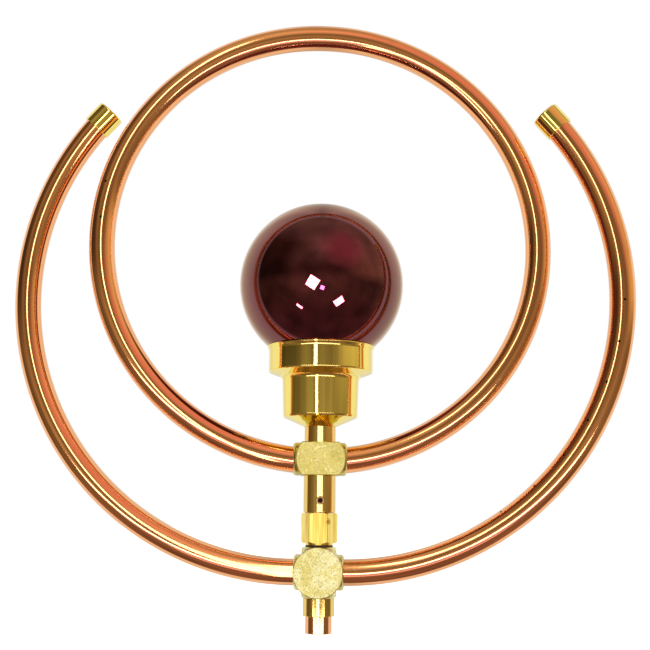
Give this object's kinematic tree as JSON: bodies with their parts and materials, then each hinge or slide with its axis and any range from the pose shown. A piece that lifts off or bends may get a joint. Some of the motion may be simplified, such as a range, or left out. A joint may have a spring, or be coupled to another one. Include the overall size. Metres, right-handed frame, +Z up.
{
  "type": "kinetic garden sculpture",
  "caption": "Water-driven garden sculpture: an open copper C ring and, above it, a closed copper ring with a glass ball in a brass cup, each turning on a hollow swivel.",
  "frame": {"origin": "middle of the open lower end of the stem pipe, on the common turning axis", "axes": "+Z up along the turning axis, -Y is the front, and at rest both rings are turned only a few degrees from the XZ plane"},
  "size_m": [0.387, 0.1016, 0.3823],
  "materials": {
    "copper_tube": "polished copper, drawn tube",
    "brass_polished": "mirror polished brass",
    "brass_turned": "turned brass, lightly tarnished",
    "brass_hub": "machined brass, speckled and pale",
    "brass_hex": "satin machined brass",
    "steel": "plain stainless steel",
    "dark_screw": "tarnished screw with a dark socket",
    "rubber": "soft black rubber",
    "acetal": "low-friction white plastic",
    "mirror_glass": "dark red glass with a mirror lining, opaque"
  },
  "bodies": {
    "stem": {"stem_pipe": "copper_tube", "lower_spindle": "brass_turned", "lower_thrust_washer": "acetal", "lower_o_rings": "rubber"},
    "c_rotor": {"lower_sleeve": "brass_turned", "lower_set_screw": "dark_screw", "lower_hub": "brass_hub", "left_arm": "copper_tube", "right_arm": "copper_tube", "left_end_cap": "brass_polished", "right_end_cap": "brass_polished", "hex_spindle": "brass_hex", "hex_gasket": "rubber", "upper_thrust_washer": "acetal", "upper_o_rings": "rubber"},
    "ring_rotor": {"upper_sleeve": "brass_turned", "upper_set_screw": "dark_screw", "upper_hub": "brass_hub", "ring_tube": "copper_tube", "cup_post": "brass_turned", "ball_cup": "brass_polished", "cup_washer": "steel", "cup_screw": "steel", "neck_grommet": "rubber", "ball_stopper": "rubber", "glass_ball": "mirror_glass"}
  },
  "joints": [
    {"name": "c_ring_spin", "type": "hinge", "parent": "stem", "child": "c_rotor", "pos_m": [0, 0, 0.02], "axis": [0, 0, 1], "continuous": true},
    {"name": "ring_spin", "type": "hinge", "parent": "c_rotor", "child": "ring_rotor", "pos_m": [0, 0, 0.082], "axis": [0, 0, 1], "continuous": true}
  ]
}
